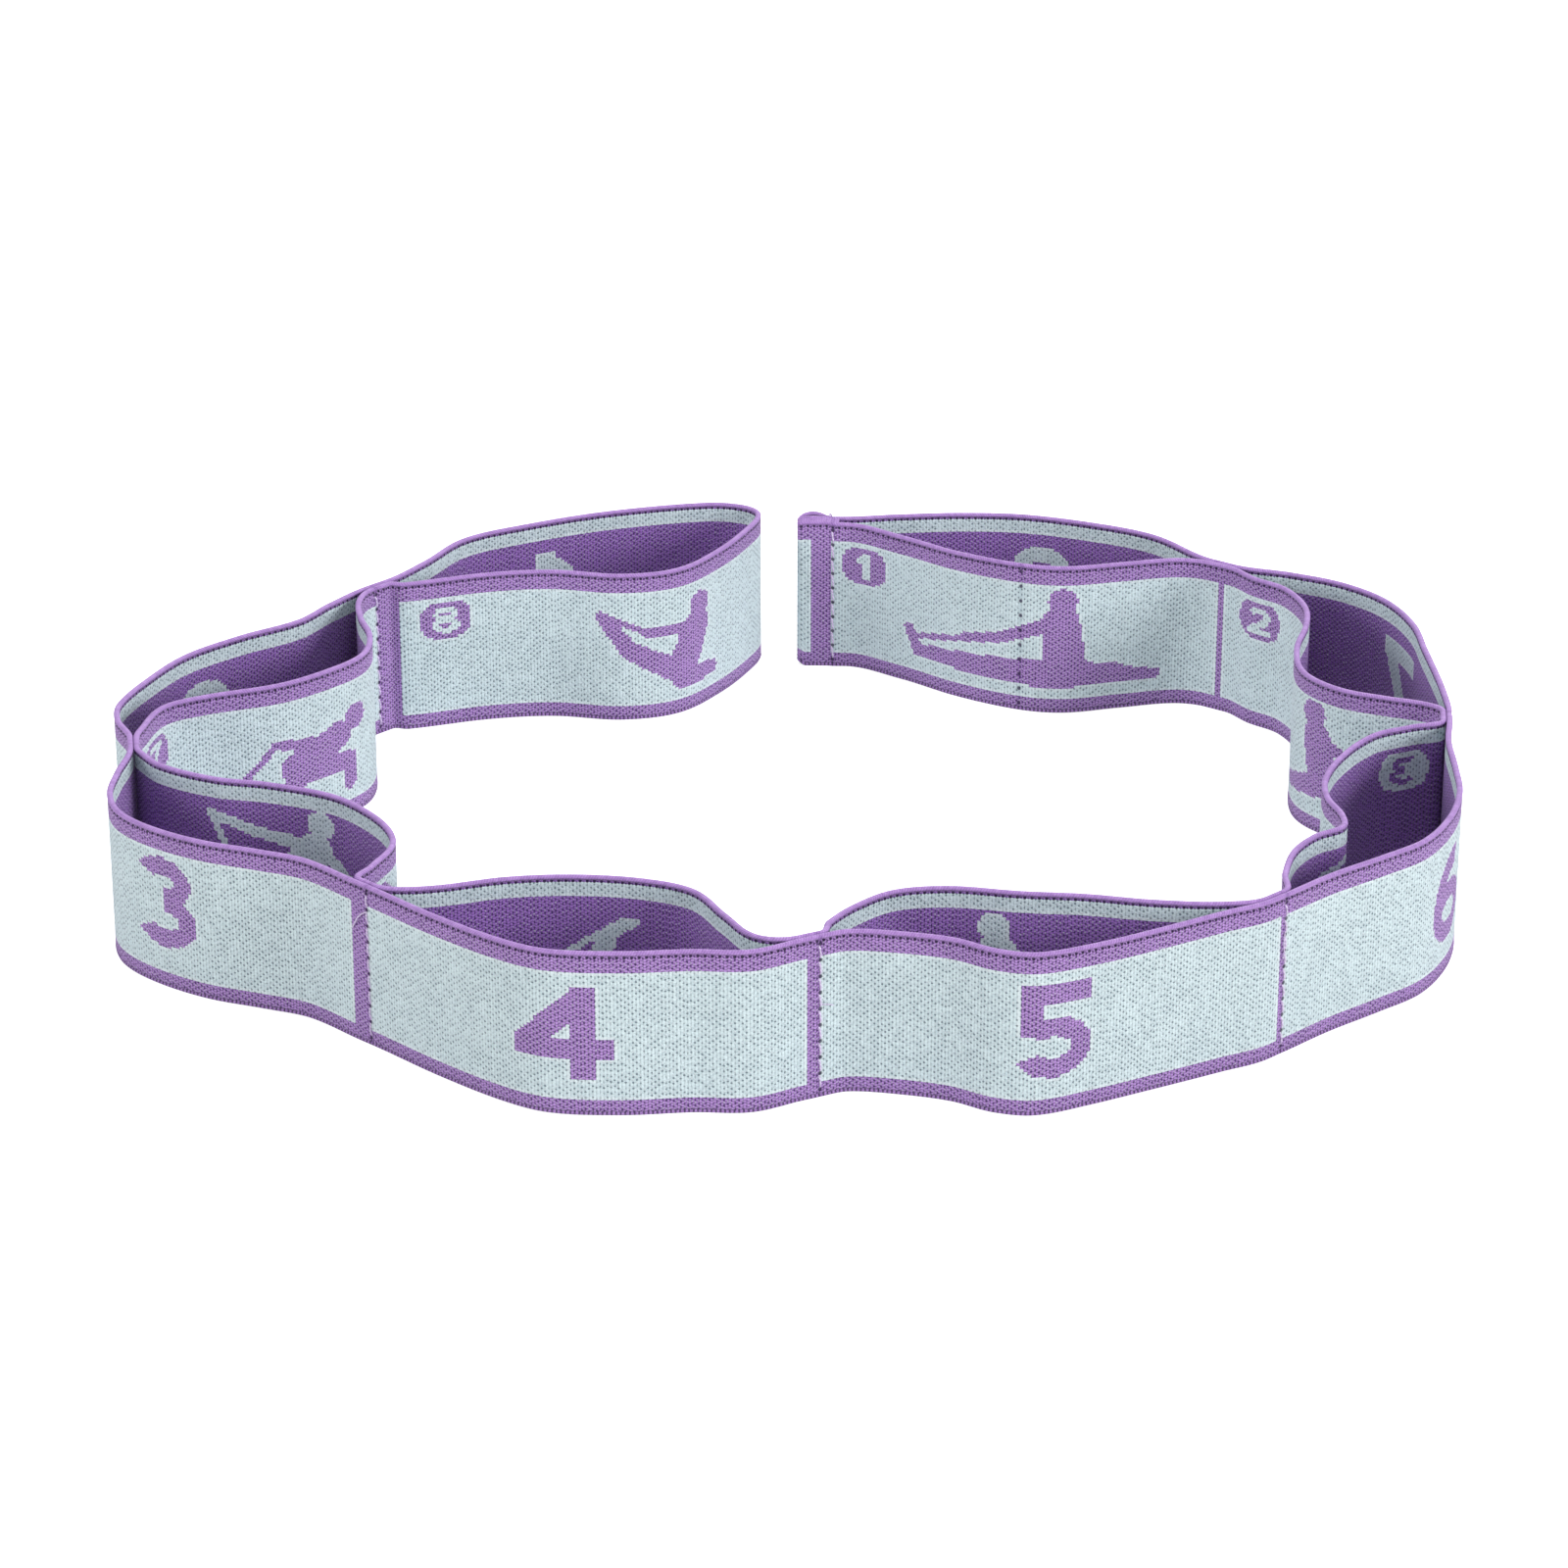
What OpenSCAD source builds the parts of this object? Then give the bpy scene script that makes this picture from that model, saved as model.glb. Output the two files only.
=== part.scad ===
// Elastic stretching strap with eight hand and foot loops.
// It stands on the edge of its tape in an open oval.
// One elastic tape is folded in half and sewn across at equal steps, so its two layers form a
// chain of loops. The outer layer is on the convex side of the oval and carries the large
// numbers. The inner layer is on the concave side and carries the figures.
// Loop 1 is at the hemmed end, loop 8 is at the folded end. +Z is up, the tape's lower edge is
// on z = 0, +Y is the back, and the origin is the middle of the oval at floor level.
// The loops follow each other clockwise in plan, so the outer side is on the left of travel.

/* [Tape] */
// Width of the tape, which is the strap's height as it stands
tape_w = 40; // [30:1:60]
// Thickness of one layer of tape
tape_t = 1.4; // [1.3:0.1:1.6]
// Length of tape from one seam to the next
loop_pitch = 113; // [110:1:130]
// Gap where each layer is divided at the middle of a loop
mid_gap = 0.3; // [0.2:0.1:1]

/* [Rubber] */
// Thickness of the rubber warp inside one layer
rubber_t = 0.6; // [0.4:0.1:0.7]
// Space between the rubber and the yarn around it
rubber_clear = 0.05; // [0.05:0.01:0.1]
// Width of the border at each edge of the tape that has no rubber
rubber_border = 3; // [2:0.5:6]

/* [Seams] */
// Length on each side of a seam's fold line where the two layers lie together
seam_flat = 2.6; // [2.4:0.1:3.5]
// Running clearance around the rounded end of a seam
seam_clear = 0.25; // [0.15:0.05:0.5]
// Distance of the stitch row from the fold line
stitch_back = 1.6; // [1.2:0.1:1.8]
// Spacing of the stitches along a row
stitch_pitch = 4; // [3:0.5:4.5]
// Distance of the first and last stitch from the tape's edges
stitch_margin = 2; // [1.5:0.5:4]
// Thickness of the sewing thread
thread_d = 0.5; // [0.3:0.1:0.6]

/* [Hem] */
// Length of the folded tab beyond the hem stitches
hem_len = 9.2; // [7:0.2:11]
// Thickness of a layer of tape pressed flat in the hem
hem_t = 1.1; // [0.9:0.05:1.2]

/* [Hidden] */
// Faces that only lie against each other are kept this far apart
face_gap = 0.04;
// Curve points in each span between two shape points
span_steps = 4;
// The plan below is drawn for loops of this length
drawn_pitch = 113;
plan_scale = loop_pitch / drawn_pitch;
// Moves the drawn plan so that the middle of its outline is on the origin
plan_shift = [-0.07, 0.5];

// Radius of the rounded end of a seam, and of the hollow that turns around it
knuckle_r = tape_t + face_gap / 2;
hollow_r = knuckle_r + seam_clear;
// Distance of a layer's middle from the seam's middle plane
layer_off = (tape_t + face_gap) / 2;
// The same in the hem, for the turned-in flap and for the layer outside it
flap_off = (hem_t + face_gap) / 2;
tab_off = flap_off + hem_t + 2 * face_gap;
hem_web_off = tab_off + (tape_t - hem_t) / 2;

// Seams in order from the hem, as plan positions and as directions of travel in degrees
SEAM_XY = [
    [12.6, 114.5], [110, 86.5], [156.5, -4], [109, -99],
    [6, -118.5], [-92.8, -92.8], [-152, -19], [-101, 73]
];
SEAM_DIR = [-1, -33, -95, -139, -155, 139, 97, 43];
// Outermost point of the turn at the folded end
FOLD_XY = [-6.5, 119];

// Plan points that each outer layer passes through between its two seams
OUTER_XY = [
    [[30, 118], [46, 119.5], [61, 118.5], [77, 113], [94, 104]],
    [[127, 80.5], [139, 74], [148.5, 63.5], [154, 49], [155.5, 34], [157, 17], [157.5, 6]],
    [[155.5, -18], [155.5, -33], [155, -46], [151.5, -58.5], [144.5, -70.5], [134.5, -79], [122, -88.5]],
    [[97, -107], [81, -115.5], [67, -122.5], [55, -127], [46, -125.5], [37, -120.5], [26, -117.5],
        [14.5, -116]],
    [[-7, -125.5], [-20, -125.5], [-36, -127], [-51, -126], [-61, -121], [-76, -109]],
    [[-107, -81.5], [-118, -77], [-131, -72], [-143.5, -64], [-151.5, -55.5], [-154.5, -46],
        [-154, -36]],
    [[-157, -6.5], [-157.5, 2.5], [-152, 17.5], [-144.5, 30.5], [-132.5, 41], [-119, 50.5],
        [-112, 61]],
    [[-90.5, 88], [-81, 102], [-65, 111], [-42, 121], [-20, 126], [-10, 124]]
];

// The same for the inner layers
INNER_XY = [
    [[30, 104.5], [44, 94], [60, 85.5], [71, 83.5], [85, 86.5], [99, 89.5]],
    [[117.5, 77.5], [124.5, 71], [128.5, 60], [128, 49], [124.5, 35], [125, 21.5],
        [132.5, 11.5], [143.5, 6], [152.5, 2.5]],
    [[147.5, -10.5], [138.5, -15], [130, -26], [125, -38], [124.5, -48], [127, -57.5],
        [126.5, -64], [120, -69], [114.5, -77], [111.5, -88]],
    [[97.5, -102.5], [82, -101.5], [67, -99], [52, -98], [36.5, -95.5], [24.5, -97],
        [16, -103.5], [10, -111.5]],
    [[-6, -118.5], [-13, -108.5], [-20, -97], [-31.5, -91.5], [-47, -89], [-61.5, -90],
        [-76.5, -94.5], [-85.5, -95.5]],
    [[-92, -84.5], [-88, -74], [-89.5, -65], [-95.5, -55], [-104, -47], [-118.5, -41.5],
        [-131, -39], [-144, -32], [-150, -24]],
    [[-151, -11.5], [-147, 1], [-137.5, 7], [-119.5, 13.5], [-106.5, 24], [-101.5, 32],
        [-101, 43], [-104, 54], [-105, 64]],
    [[-94.5, 74], [-75, 79.5], [-58, 81.5], [-41, 79.5], [-27, 83.5], [-17, 95], [-9.5, 109]]
];

// Shape-point spans of loop 8 that belong to the turn at the folded end
outer_fold_spans = 2;
inner_fold_spans = 1;

LOOPS = [1:8];
OUTER = 1;
INNER = -1;

// ---- plan geometry ----

function unit(v) = v / norm(v);
function left_of(v) = [-v[1], v[0]];
function heading(a) = [cos(a), sin(a)];
function reversed(list) = [for (i = [len(list) - 1:-1:0]) list[i]];
function part_of(list, first, last) = [for (i = [first:last]) list[i]];

// A drawn plan point in its place
function placed(p) = plan_scale * p + plan_shift;

// Point at distance u past seam s, and n to its outer side
function at_seam(s, u, n) =
    let (d = heading(SEAM_DIR[s]))
    placed(SEAM_XY[s]) + u * d + n * left_of(d);

// Direction of a curve at shape point i, with the two end directions given
function shape_dir(p, i, first_dir, last_dir) =
    i == 0 ? first_dir : i == len(p) - 1 ? last_dir : unit(p[i + 1] - p[i - 1]);

// Cubic between two shape points, at 0 <= q <= 1
function span_point(a, b, dir_a, dir_b, q) =
    let (reach = norm(b - a))
    (2 * q ^ 3 - 3 * q ^ 2 + 1) * a + (q ^ 3 - 2 * q ^ 2 + q) * reach * dir_a
    + (3 * q ^ 2 - 2 * q ^ 3) * b + (q ^ 3 - q ^ 2) * reach * dir_b;

function curve_through(p, first_dir, last_dir) = concat(
    [for (i = [0:len(p) - 2]) for (j = [0:span_steps - 1])
        span_point(p[i], p[i + 1], shape_dir(p, i, first_dir, last_dir),
            shape_dir(p, i + 1, first_dir, last_dir), j / span_steps)],
    [p[len(p) - 1]]
);

// Middle line of one layer of a loop, from the flat of one seam to the flat of the next.
// Loop 8 has no seam at its far end: its two layers meet at the turn.
function layer_curve(loop, side) =
    let (
        s = loop - 1,
        shape = [for (p = side == OUTER ? OUTER_XY[s] : INNER_XY[s]) placed(p)],
        first_off = loop == 1 ? hem_web_off : layer_off,
        first = at_seam(s, seam_flat, side * first_off),
        last = loop == 8 ? placed(FOLD_XY) : at_seam(loop, -seam_flat, side * layer_off),
        last_dir = loop == 8 ? heading(-90 * side) : heading(SEAM_DIR[loop])
    )
    curve_through(concat([first], shape, [last]), heading(SEAM_DIR[s]), last_dir);

function middle_of(c) = floor((len(c) - 1) / 2);

// Number of curve points of loop 8 that belong to the turn
function fold_steps(side) = span_steps * (side == OUTER ? outer_fold_spans : inner_fold_spans);

// Index of the last curve point of a loop's end half
function last_of(c, loop, side) = len(c) - 1 - (loop == 8 ? fold_steps(side) : 0);

// A path shortened by a at its start and by b at its end
function trimmed(p, a, b) =
    let (n = len(p) - 1)
    concat([p[0] + a * unit(p[1] - p[0])], part_of(p, 1, n - 1), [p[n] - b * unit(p[n] - p[n - 1])]);

// The line at distance n to the left of a path
function beside(p, n) = [
    for (i = [0:len(p) - 1])
        p[i] + n * left_of(unit(p[min(i + 1, len(p) - 1)] - p[max(i - 1, 0)]))
];

// Round end of one layer at seam s: the knuckle, or with hollow the seat that turns around it
function knuckle_arc(s, side) =
    [for (a = [75:-15:0]) at_seam(s, knuckle_r * cos(a), side * max(knuckle_r * sin(a), face_gap / 2))];
function hollow_arc(s, side) =
    let (top = asin(knuckle_r / hollow_r))
    [for (j = [0:4]) at_seam(s, hollow_r * cos(top * j / 4), side * max(hollow_r * sin(top * j / 4), face_gap / 2))];

// ---- solids ----

module band(path, t, z0, h) {
    translate([0, 0, z0])
    linear_extrude(h)
    polygon(concat(beside(path, t / 2), reversed(beside(path, -t / 2))));
}

module at_seam_frame(s) {
    p = at_seam(s, 0, 0);
    translate([p[0], p[1], 0]) rotate([0, 0, SEAM_DIR[s]]) children();
}

// Space for the rubber inside a layer, or the rubber itself, along a path
module rubber_space(path) {
    band(path, rubber_t + 2 * rubber_clear, rubber_border - rubber_clear,
        tape_w - 2 * rubber_border + 2 * rubber_clear);
}

module rubber_ribbon(path) {
    band(path, rubber_t, rubber_border, tape_w - 2 * rubber_border);
}

// Holes that the needle leaves, or the thread that crosses through them, at distance u past seam s
module needle_row(s, u, r, reach) {
    count = floor((tape_w - 2 * stitch_margin) / stitch_pitch);
    first_z = (tape_w - count * stitch_pitch) / 2;
    at_seam_frame(s)
    for (i = [0:count])
        translate([u, 0, first_z + i * stitch_pitch])
        rotate([90, 0, 0])
        cylinder(h = 2 * reach, r = r, center = true, $fn = 8);
}

// Thread of one stitch row: a line on each face, joined through the layers at every stitch
module stitch_row(s, u, face) {
    thread_off = face + face_gap + thread_d / 2;
    count = floor((tape_w - 2 * stitch_margin) / stitch_pitch);
    run = count * stitch_pitch + thread_d;
    needle_row(s, u, 0.4 * thread_d, thread_off);
    at_seam_frame(s)
    for (side = [INNER, OUTER])
        translate([u, side * thread_off, (tape_w - run) / 2])
        cylinder(h = run, r = thread_d / 2, $fn = 8);
}

hole_r = 0.4 * thread_d + face_gap;

// First half of one layer of a loop, from its seam to the middle of the loop
module layer_start(loop, side) {
    s = loop - 1;
    c = layer_curve(loop, side);
    half = part_of(c, 0, middle_of(c));
    root = loop == 1 ? at_seam(s, -stitch_back, side * hem_web_off)
                     : at_seam(s, hollow_r + face_gap, side * layer_off);
    path = trimmed(concat([root], half), 0, mid_gap / 2);
    seat = loop == 1 ? [] : hollow_arc(s, side);
    difference() {
        linear_extrude(tape_w)
        polygon(concat(beside(path, side * tape_t / 2), reversed(beside(path, -side * tape_t / 2)),
            seat));
        rubber_space(trimmed(part_of(half, 1, len(half) - 1), 0, -mid_gap));
        if (loop == 1) needle_row(s, 0, hole_r, 2 * tab_off);
    }
}

// Second half of one layer of a loop, from the middle of the loop to its next seam
module layer_end(loop, side) {
    c = layer_curve(loop, side);
    last = last_of(c, loop, side);
    half = part_of(c, middle_of(c), last);
    tip = loop == 8 ? [] : [at_seam(loop, 0, side * layer_off)];
    path = trimmed(concat(half, tip), mid_gap / 2, loop == 8 ? face_gap : 0);
    knuckle = loop == 8 ? [] : knuckle_arc(loop, side);
    difference() {
        linear_extrude(tape_w)
        polygon(concat(beside(path, side * tape_t / 2), knuckle,
            reversed(beside(path, -side * tape_t / 2))));
        rubber_space(trimmed(part_of(half, 0, len(half) - 2), -mid_gap, 0));
        if (loop < 8) needle_row(loop, -stitch_back, hole_r, 2 * tape_t);
    }
}

module outer_start(loop) { color("#c6dde3") layer_start(loop, OUTER); }
module outer_end(loop) { color("#c6dde3") layer_end(loop, OUTER); }
module inner_start(loop) { color("#b48fd0") layer_start(loop, INNER); }
module inner_end(loop) { color("#b48fd0") layer_end(loop, INNER); }

// Rubber of both layers of a loop, first and second half
module rubber_start(loop) {
    color("#e9e4d4")
    for (side = [INNER, OUTER]) {
        c = layer_curve(loop, side);
        rubber_ribbon(trimmed(part_of(c, 1, middle_of(c)), face_gap, mid_gap));
    }
}

module rubber_end(loop) {
    color("#e9e4d4")
    for (side = [INNER, OUTER]) {
        c = layer_curve(loop, side);
        last = last_of(c, loop, side);
        rubber_ribbon(trimmed(part_of(c, middle_of(c), last - 1), mid_gap, face_gap));
    }
}

module seam_stitches(s) {
    color("#e3cdef") stitch_row(s, -stitch_back, knuckle_r);
}

module hem_stitches() {
    color("#e3cdef") stitch_row(0, 0, hem_web_off + tape_t / 2);
}

// The end of one layer of tape, turned in beyond the hem stitches. The two turned ends lie one
// behind the other.
module hem_turn(side) {
    turn_r = (tab_off - flap_off) / 2;
    turn_mid = (tab_off + flap_off) / 2;
    turn_u = turn_r + hem_t / 2 - hem_len;
    color("#b48fd0")
    difference() {
        band(concat(
            [at_seam(0, stitch_back, side * flap_off)],
            [for (a = [-90:-15:-270])
                at_seam(0, turn_u + turn_r * cos(a), side * (turn_mid + turn_r * sin(a)))],
            [at_seam(0, -stitch_back - face_gap, side * tab_off)]
        ), hem_t, 0, tape_w);
        needle_row(0, 0, hole_r, 2 * tab_off);
    }
}

module hem_outer_turn() { hem_turn(OUTER); }
module hem_inner_turn() { hem_turn(INNER); }

// The tape's turn from the outer to the inner layer at the far end of loop 8
module end_fold() {
    outer = layer_curve(8, OUTER);
    inner = layer_curve(8, INNER);
    outer_part = part_of(outer, len(outer) - 1 - fold_steps(OUTER), len(outer) - 1);
    inner_part = part_of(inner, len(inner) - 1 - fold_steps(INNER), len(inner) - 2);
    color("#b48fd0")
    band(trimmed(concat(outer_part, reversed(inner_part)), face_gap, face_gap), tape_t, 0, tape_w);
}

for (k = LOOPS) {
    outer_start(k);
    outer_end(k);
    inner_start(k);
    inner_end(k);
    rubber_start(k);
    rubber_end(k);
}
for (s = [1:7])
    seam_stitches(s);
hem_stitches();
hem_outer_turn();
hem_inner_turn();
end_fold();
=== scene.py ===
"""Looks of the eight-loop stretching strap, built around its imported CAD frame.

The strap is one jacquard tape, folded in half and sewn across at equal steps. Its front has a pale
ground with purple borders, numbers and figures, and its reverse shows the same pattern with the
two yarns exchanged. Every length of tape is a closed mesh whose faces are single knit cells, so a
cell has one yarn colour on its front and the other on its reverse.
Lengths are in millimetres and angles in degrees until a mesh is made, then in metres.
"""
import math

import bpy
import numpy as np
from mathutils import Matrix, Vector


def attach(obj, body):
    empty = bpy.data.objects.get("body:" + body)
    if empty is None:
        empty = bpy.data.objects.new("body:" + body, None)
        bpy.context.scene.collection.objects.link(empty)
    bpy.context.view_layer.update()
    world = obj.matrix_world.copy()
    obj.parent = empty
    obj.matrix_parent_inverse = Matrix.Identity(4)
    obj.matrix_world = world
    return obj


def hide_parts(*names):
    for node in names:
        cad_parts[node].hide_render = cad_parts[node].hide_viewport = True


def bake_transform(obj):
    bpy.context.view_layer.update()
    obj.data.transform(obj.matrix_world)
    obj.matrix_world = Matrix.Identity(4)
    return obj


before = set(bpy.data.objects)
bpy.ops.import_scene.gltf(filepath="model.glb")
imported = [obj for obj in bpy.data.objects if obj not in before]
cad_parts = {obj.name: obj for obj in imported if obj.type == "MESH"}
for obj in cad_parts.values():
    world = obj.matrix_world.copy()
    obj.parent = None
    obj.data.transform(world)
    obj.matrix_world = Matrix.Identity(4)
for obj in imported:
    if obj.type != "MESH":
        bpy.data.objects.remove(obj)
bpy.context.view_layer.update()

MM = 0.001
OUTER = 1
INNER = -1

# Tape: width, the two sizes of a knit cell, and the plain corded edges
TAPE_W = 40.0
CELL = 0.8
WEB_BOTTOM = 1.1
WEB_TOP = 38.6
WEB_ROWS = 53
WEB_HALF_T = 0.64
ROW = (WEB_TOP - WEB_BOTTOM) / WEB_ROWS
CORD_ROWS = 3

# Jacquard pattern of the front
TOP_BORDER = 4.6
BOTTOM_BORDER = 3.9

# Seams, as in part.scad: position, direction of travel, and the plan's shift to the middle
PLAN_SHIFT = np.array([-0.07, 0.5])
SEAM_XY = [(12.6, 114.5), (110, 86.5), (156.5, -4), (109, -99),
           (6, -118.5), (-92.8, -92.8), (-152, -19), (-101, 73)]
SEAM_DIR = [-1, -33, -95, -139, -155, 139, 97, 43]
FOLD_XY = (-6.5, 119)
SEAM_FLAT = 2.6
LAYER_OFF = 0.72
HEM_WEB_OFF = 1.9
STITCH_BACK = 1.6

# Plan points of each layer between its two seams, as in part.scad
OUTER_XY = [
    [(30, 118), (46, 119.5), (61, 118.5), (77, 113), (94, 104)],
    [(127, 80.5), (139, 74), (148.5, 63.5), (154, 49), (155.5, 34), (157, 17), (157.5, 6)],
    [(155.5, -18), (155.5, -33), (155, -46), (151.5, -58.5), (144.5, -70.5), (134.5, -79), (122, -88.5)],
    [(97, -107), (81, -115.5), (67, -122.5), (55, -127), (46, -125.5), (37, -120.5), (26, -117.5),
     (14.5, -116)],
    [(-7, -125.5), (-20, -125.5), (-36, -127), (-51, -126), (-61, -121), (-76, -109)],
    [(-107, -81.5), (-118, -77), (-131, -72), (-143.5, -64), (-151.5, -55.5), (-154.5, -46), (-154, -36)],
    [(-157, -6.5), (-157.5, 2.5), (-152, 17.5), (-144.5, 30.5), (-132.5, 41), (-119, 50.5), (-112, 61)],
    [(-90, 88), (-81, 102), (-65, 111), (-42, 121), (-20, 126), (-10, 124)],
]
INNER_XY = [
    [(30, 104.5), (44, 94), (60, 85.5), (71, 83.5), (85, 86.5), (99, 89.5)],
    [(117.5, 77.5), (124.5, 71), (128.5, 60), (128, 49), (124.5, 35), (125, 21.5), (132.5, 11.5), (143.5, 6),
     (152.5, 2.5)],
    [(147.5, -10.5), (138.5, -15), (130, -26), (125, -38), (124.5, -48), (127, -57.5), (126.5, -64),
     (120, -69), (114.5, -77), (111.5, -88)],
    [(97.5, -102.5), (82, -101.5), (67, -99), (52, -98), (36.5, -95.5), (24.5, -97), (16, -103.5),
     (10, -111.5)],
    [(-6, -118.5), (-13, -108.5), (-20, -97), (-31.5, -91.5), (-47, -89), (-61.5, -90), (-76.5, -94.5),
     (-85.5, -95.5)],
    [(-92, -84.5), (-88, -74), (-89.5, -65), (-95.5, -55), (-104, -47), (-118.5, -41.5), (-131, -39),
     (-144, -32), (-150, -24)],
    [(-151, -11.5), (-147, 1), (-137.5, 7), (-119.5, 13.5), (-106.5, 24), (-101.5, 32), (-101, 43),
     (-104, 54), (-105, 64)],
    [(-94.5, 74), (-75, 79.5), (-58, 81.5), (-41, 79.5), (-27, 83.5), (-17, 95), (-9.5, 109)],
]

# Knit cells on each side of a seam that belong to the seam's own piece, and those of the end fold
SEAM_CELLS = 7
FOLD_CELLS = {OUTER: 20, INNER: 14}


# ---- plan of the tape ----

def heading(angle):
    return np.array([math.cos(math.radians(angle)), math.sin(math.radians(angle))])


def left_of(vectors):
    return np.stack([-vectors[..., 1], vectors[..., 0]], axis=-1)


def unit(vectors):
    return vectors / np.linalg.norm(vectors, axis=-1, keepdims=True)


def at_seam(seam, along, out=0.0):
    """Plan point at a distance past a seam, and out to the side of the outer layer."""
    direction = heading(SEAM_DIR[seam])
    return np.array(SEAM_XY[seam]) + PLAN_SHIFT + along * direction + out * left_of(direction)


def curve_through(points, first_dir, last_dir, steps=24):
    """Smooth curve through shape points, the same cubic as in part.scad."""
    points = np.array(points, float)
    middle_dirs = unit(points[2:] - points[:-2])
    dirs = np.vstack([first_dir, middle_dirs, last_dir])
    q = np.linspace(0, 1, steps, endpoint=False)[:, None]
    rows = []
    for i in range(len(points) - 1):
        a, b = points[i], points[i + 1]
        reach = np.linalg.norm(b - a)
        rows.append((2 * q**3 - 3 * q**2 + 1) * a + (q**3 - 2 * q**2 + q) * reach * dirs[i]
                    + (3 * q**2 - 2 * q**3) * b + (q**3 - q**2) * reach * dirs[i + 1])
    return np.vstack(rows + [points[-1:]])


def resampled(line, cell):
    """Evenly spaced points along a line, with their directions and distances."""
    steps = np.linalg.norm(np.diff(line, axis=0), axis=1)
    distance = np.concatenate([[0], np.cumsum(steps)])
    count = round(distance[-1] / cell)
    at = np.linspace(0, distance[-1], count + 1)
    points = np.stack([np.interp(at, distance, line[:, c]) for c in range(2)], axis=1)
    return points, unit(np.gradient(points, axis=0)), at


def layer_line(loop, side):
    """Middle line of one layer of a loop, from its seam to the next, or to the fold on loop 8."""
    seam = loop - 1
    off = side * (HEM_WEB_OFF if loop == 1 else LAYER_OFF)
    shape = [np.array(p) + PLAN_SHIFT for p in (OUTER_XY if side == OUTER else INNER_XY)[seam]]
    start = at_seam(seam, 0, off)
    first = at_seam(seam, SEAM_FLAT, off)
    if loop == 8:
        return np.vstack([start[None], curve_through([first] + shape + [np.array(FOLD_XY) + PLAN_SHIFT],
                                                     heading(SEAM_DIR[seam]), heading(-90 * side))])
    last = at_seam(loop, -SEAM_FLAT, side * LAYER_OFF)
    end = at_seam(loop, 0, side * LAYER_OFF)
    curve = curve_through([first] + shape + [last], heading(SEAM_DIR[seam]), heading(SEAM_DIR[loop]))
    return np.vstack([start[None], curve, end[None]])


# ---- jacquard pattern: shapes are masks over a grid of cell middles ----

def bar(x, y, x0, x1, y0, y1):
    return (x >= x0) & (x <= x1) & (y >= y0) & (y <= y1)


def limb(x, y, ax, ay, bx, by, ra, rb):
    """Tapered stroke with round ends, from radius ra at a to radius rb at b."""
    dx, dy = bx - ax, by - ay
    q = np.clip(((x - ax) * dx + (y - ay) * dy) / max(dx * dx + dy * dy, 1e-9), 0, 1)
    return np.hypot(x - ax - q * dx, y - ay - q * dy) <= ra + q * (rb - ra)


def arc_band(x, y, cx, cy, rx, ry, width, start=0, sweep=360):
    """Part of an elliptical ring, from the start angle anticlockwise through the sweep."""
    outside = np.hypot((x - cx) / rx, (y - cy) / ry) <= 1
    inside = np.hypot((x - cx) / (rx - width), (y - cy) / (ry - width)) < 1
    angle = (np.degrees(np.arctan2((y - cy) / ry, (x - cx) / rx)) - start) % 360
    return outside & ~inside & (angle <= sweep)


def numeral(n, x, y):
    """Bold plain numeral, 22 high and centred on x = 0, standing on y = 0."""
    if n == 1:
        return bar(x, y, -1.4, 3.6, 0, 22) | limb(x, y, -4.2, 15.4, 1.0, 19.6, 2.3, 2.3) & (y <= 22)
    if n == 2:
        foot = bar(x, y, -8.2, 8.4, 0, 4.6)
        neck = limb(x, y, -5.4, 3.2, 4.6, 10.6, 2.6, 2.6)
        return foot | neck | arc_band(x, y, 0, 14.8, 8.2, 7.2, 4.8, -50, 215)
    if n == 3:
        upper = arc_band(x, y, -0.4, 16.0, 7.8, 6.0, 4.4, -85, 235)
        return upper | arc_band(x, y, -0.2, 6.6, 8.8, 6.6, 4.6, -150, 240)
    if n == 4:
        stem = bar(x, y, 1.6, 6.8, 0, 22)
        cross = bar(x, y, -10.8, 11.0, 5.0, 9.4)
        return stem | cross | limb(x, y, -8.4, 8.2, 3.6, 19.2, 2.6, 2.8)
    if n == 5:
        top = bar(x, y, -6.8, 8.4, 17.6, 22)
        back = bar(x, y, -6.8, -2.0, 9.8, 22)
        return top | back | arc_band(x, y, -0.2, 7.2, 8.8, 7.2, 4.7, -152, 290)
    if n == 6:
        bowl = arc_band(x, y, 0, 7.2, 8.8, 7.2, 4.6)
        return bowl | arc_band(x, y, 3.4, 9.6, 12.2, 12.4, 4.9, 88, 95)
    if n == 7:
        return bar(x, y, -8.6, 8.6, 17.4, 22) | limb(x, y, -3.2, 1.2, 5.4, 17.6, 2.7, 2.7) & (y >= 0)
    upper = arc_band(x, y, 0, 16.4, 7.4, 5.6, 3.9)
    return upper | arc_band(x, y, 0, 6.4, 8.8, 6.4, 4.5)


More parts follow.
